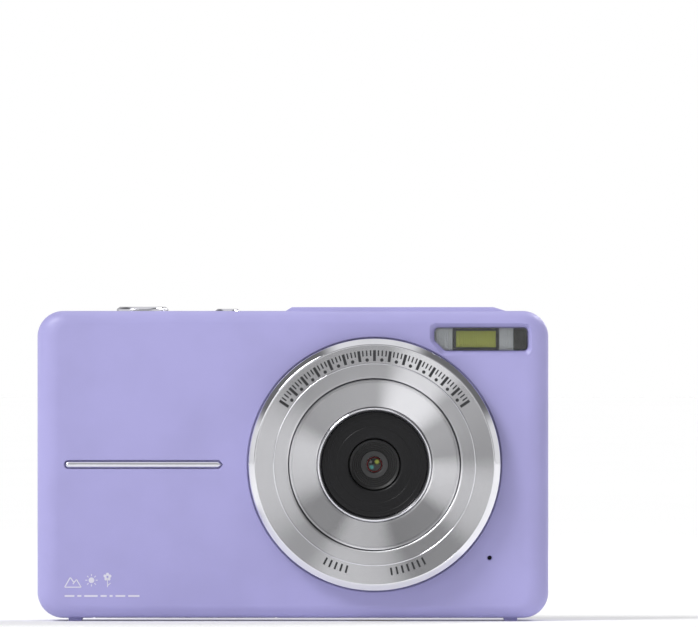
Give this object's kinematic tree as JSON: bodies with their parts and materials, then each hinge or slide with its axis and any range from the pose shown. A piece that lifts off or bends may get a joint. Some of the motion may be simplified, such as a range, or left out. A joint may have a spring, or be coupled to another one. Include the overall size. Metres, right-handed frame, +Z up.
{
  "type": "digital camera",
  "caption": "Slim lavender digital camera with a wide turned lens ring, bright accent bar, flash window, rear screen, round keys and a four-way ring.",
  "frame": {"origin": "under the middle of the camera's box, on the surface that its feet stand on", "axes": "-Y is the front, where the lens is; +X is the lens side; +Z is up"},
  "size_m": [0.099, 0.023, 0.0609],
  "materials": {
    "lavender_plastic": "satin moulded plastic",
    "turned_silver": "turned, fine concentric lines",
    "bright_chrome": "polished",
    "black_plastic": "smooth, low gloss",
    "clear_window": "ribbed and clear",
    "lens_glass": "coated",
    "screen_glass": "polished",
    "screen_picture": "display showing a plain landscape",
    "mint_light": "translucent",
    "flash_yellow": "phosphor under a clear coat",
    "steel_parts": "plain",
    "brass_parts": "machined",
    "circuit_board": "solder mask",
    "chip_plastic": "matt",
    "flex_amber": "polyimide film",
    "grey_plastic": "matt",
    "soft_rubber": "matt",
    "battery_wrap": "printed film"
  },
  "bodies": {
    "camera_body": {"front_shell": "lavender_plastic", "rear_shell": "lavender_plastic", "door_hinge_pin": "steel_parts", "accent_bar": "bright_chrome", "flash_window": "clear_window", "flash_reflector": "bright_chrome", "flash_led": "flash_yellow", "lens_outer_ring": "turned_silver", "lens_inner_ring": "turned_silver", "lens_trim_ring": "bright_chrome", "lens_cover_plate": "black_plastic", "lens_barrel": "black_plastic", "front_lens": "lens_glass", "lens_holder": "black_plastic", "infrared_filter": "lens_glass", "image_sensor": "chip_plastic", "sensor_board": "circuit_board", "sensor_flex": "flex_amber", "microphone": "steel_parts", "microphone_boot": "soft_rubber", "shutter_spring": "steel_parts", "shutter_switch": "grey_plastic", "power_switch": "grey_plastic", "top_button_board": "circuit_board", "keypad_mat": "soft_rubber", "keypad_board": "circuit_board", "status_light_window": "mint_light", "status_led": "mint_light", "screen_window": "screen_glass", "display_panel": "screen_picture", "display_tray": "steel_parts", "display_flex": "flex_amber", "main_board": "circuit_board", "processor": "chip_plastic", "battery_cradle": "grey_plastic", "battery": "battery_wrap", "battery_contact_left": "brass_parts", "battery_contact_right": "brass_parts", "card_socket": "steel_parts", "memory_card": "grey_plastic", "usb_socket": "steel_parts", "speaker": "grey_plastic", "tripod_bush": "brass_parts", "strap_bar": "steel_parts", "case_screw_bottom_left": "steel_parts", "case_screw_bottom_right": "steel_parts", "case_screw_side_left": "steel_parts", "case_screw_side_right": "steel_parts"},
    "shutter_button": {"shutter_button": "bright_chrome"},
    "power_button": {"power_button": "bright_chrome"},
    "zoom_wide_button": {"zoom_wide_button": "turned_silver"},
    "zoom_tele_button": {"zoom_tele_button": "turned_silver"},
    "mode_button": {"mode_button": "turned_silver"},
    "menu_button": {"menu_button": "turned_silver"},
    "ok_button": {"ok_button": "turned_silver"},
    "nav_pivot": {"nav_pivot_ring": "soft_rubber"},
    "nav_ring": {"nav_ring": "turned_silver"},
    "battery_door": {"battery_door": "lavender_plastic"}
  },
  "joints": [
    {"name": "shutter_press", "type": "slide", "parent": "camera_body", "child": "shutter_button", "axis": [0, 0, -1], "range_m": [0, 0.0005], "stiffness_N_per_m": 600, "deforming": ["shutter_spring"]},
    {"name": "power_press", "type": "slide", "parent": "camera_body", "child": "power_button", "axis": [0, 0, -1], "range_m": [0, 0.0003], "stiffness_N_per_m": 600},
    {"name": "zoom_wide_press", "type": "slide", "parent": "camera_body", "child": "zoom_wide_button", "axis": [0, -1, 0], "range_m": [0, 0.00035], "stiffness_N_per_m": 600},
    {"name": "zoom_tele_press", "type": "slide", "parent": "camera_body", "child": "zoom_tele_button", "axis": [0, -1, 0], "range_m": [0, 0.00035], "stiffness_N_per_m": 600},
    {"name": "mode_press", "type": "slide", "parent": "camera_body", "child": "mode_button", "axis": [0, -1, 0], "range_m": [0, 0.00035], "stiffness_N_per_m": 600},
    {"name": "menu_press", "type": "slide", "parent": "camera_body", "child": "menu_button", "axis": [0, -1, 0], "range_m": [0, 0.00035], "stiffness_N_per_m": 600},
    {"name": "ok_press", "type": "slide", "parent": "camera_body", "child": "ok_button", "axis": [0, -1, 0], "range_m": [0, 0.00035], "stiffness_N_per_m": 600},
    {"name": "nav_rock_up_down", "type": "hinge", "parent": "camera_body", "child": "nav_pivot", "pos_m": [-0.0372, 0.00725, 0.03035], "axis": [1, 0, 0], "range_deg": [-1.5, 1.5], "stiffness_Nm_per_rad": 0.2},
    {"name": "nav_rock_left_right", "type": "hinge", "parent": "nav_pivot", "child": "nav_ring", "pos_m": [-0.0372, 0.00725, 0.03035], "axis": [0, 0, 1], "range_deg": [-1.5, 1.5], "stiffness_Nm_per_rad": 0.2},
    {"name": "battery_door_swing", "type": "hinge", "parent": "camera_body", "child": "battery_door", "pos_m": [-0.0209, -0.0038, 0.0019], "axis": [-1, 0, 0], "range_deg": [0, 95]}
  ]
}
